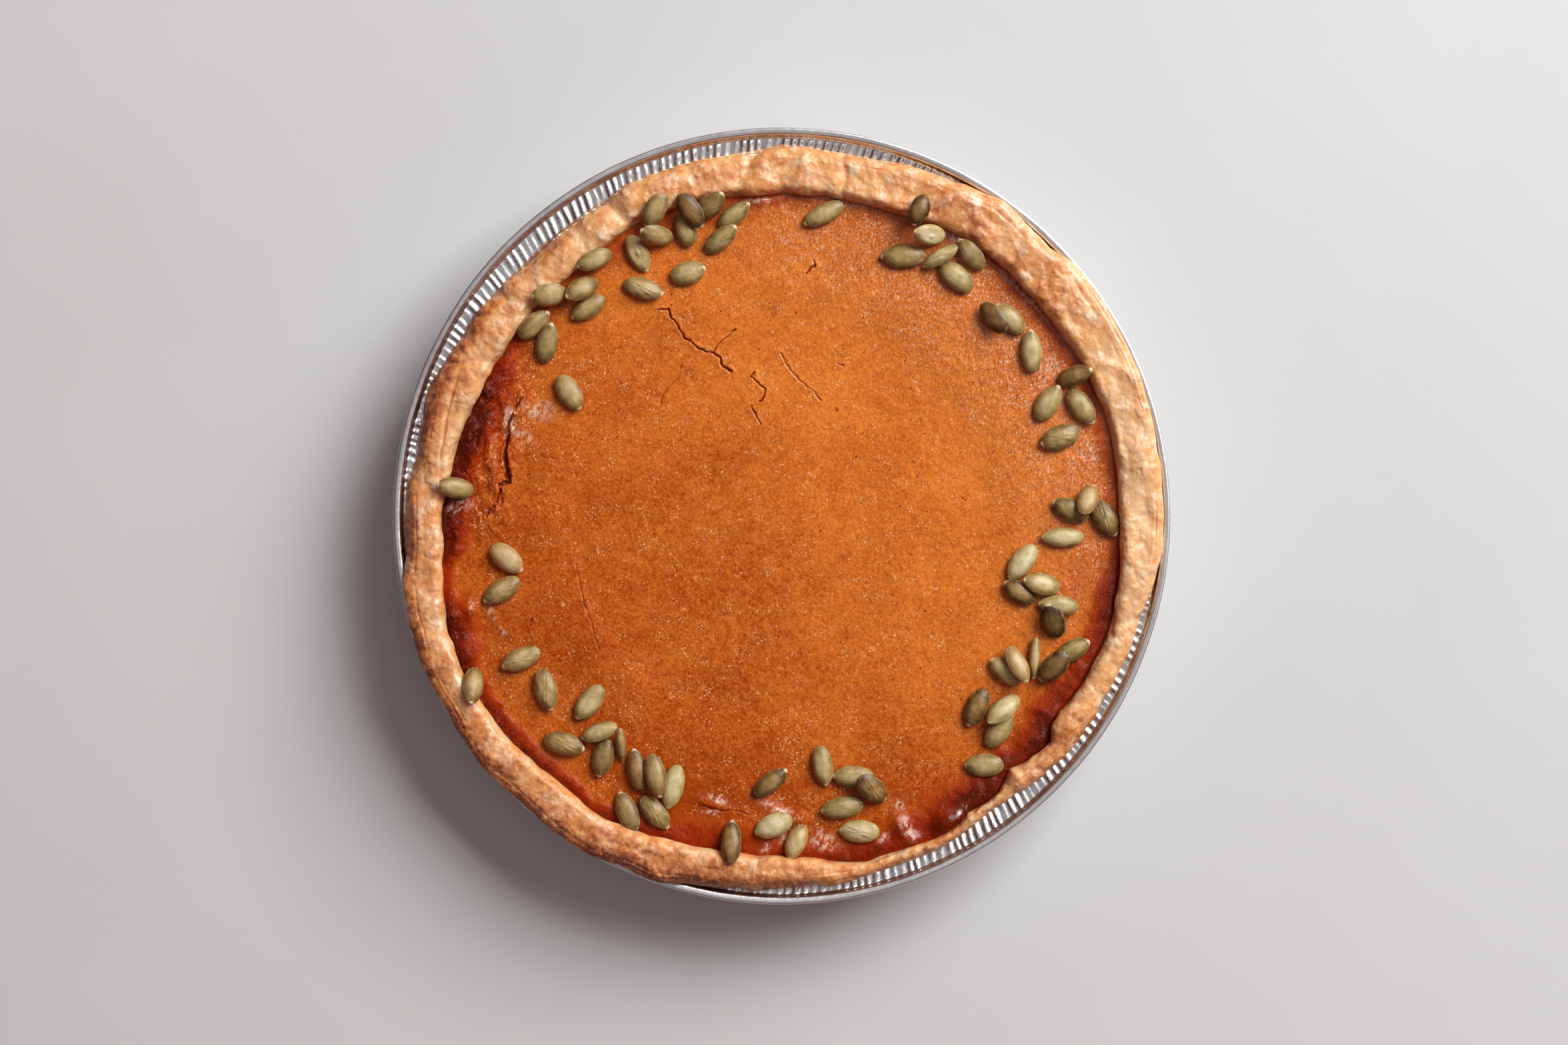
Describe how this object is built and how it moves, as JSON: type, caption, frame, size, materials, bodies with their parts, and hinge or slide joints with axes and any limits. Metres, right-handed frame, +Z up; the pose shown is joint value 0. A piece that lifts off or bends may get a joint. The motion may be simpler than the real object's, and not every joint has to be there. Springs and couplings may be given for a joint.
{
  "type": "pumpkin pie in a foil tin",
  "caption": "Round baked pumpkin pie with an uneven rolled pastry rim and loose pumpkin seeds near its edge, in a fluted foil tin.",
  "frame": {"origin": "middle of the flat underside of the tin, where it stands", "axes": "+Z up out of the pie, +X and +Y across it; +Y is the side away from a person who looks at the pie with the long row of seeds on the right"},
  "size_m": [0.244, 0.244, 0.0377],
  "materials": {
    "tin": "thin crinkled foil, bright, with a fluted wall and a rolled rim",
    "crust": "baked pastry, pale golden with browner blisters, dry and flaky",
    "filling": "set pumpkin custard, orange brown, lightly glossy, darker where scorched",
    "seed": "toasted shelled pumpkin seeds, olive green to tan, softly glossy skin"
  },
  "bodies": {
    "root": {"crust": "crust", "filling": "filling", "seed_01": "seed", "seed_02": "seed", "seed_03": "seed", "seed_04": "seed", "seed_05": "seed", "seed_06": "seed", "seed_07": "seed", "seed_08": "seed", "seed_09": "seed", "seed_10": "seed", "seed_11": "seed", "seed_12": "seed", "seed_13": "seed", "seed_14": "seed", "seed_15": "seed", "seed_16": "seed", "seed_17": "seed", "seed_18": "seed", "seed_19": "seed", "seed_20": "seed", "seed_21": "seed", "seed_22": "seed", "seed_23": "seed", "seed_24": "seed", "seed_25": "seed", "seed_26": "seed", "seed_27": "seed", "seed_28": "seed", "seed_29": "seed", "seed_30": "seed", "seed_31": "seed", "seed_32": "seed", "seed_33": "seed", "seed_34": "seed", "seed_35": "seed", "seed_36": "seed", "seed_37": "seed", "seed_38": "seed", "seed_39": "seed", "seed_pile_01": "seed", "seed_pile_02": "seed", "seed_pile_03": "seed", "seed_pile_04": "seed", "seed_pile_05": "seed", "seed_pile_06": "seed", "seed_pile_07": "seed", "seed_pile_08": "seed", "seed_pile_09": "seed", "seed_pile_10": "seed", "seed_pile_11": "seed", "seed_pile_12": "seed", "seed_pile_13": "seed", "seed_pile_14": "seed", "seed_pile_15": "seed", "tin": "tin"}
  },
  "joints": []
}
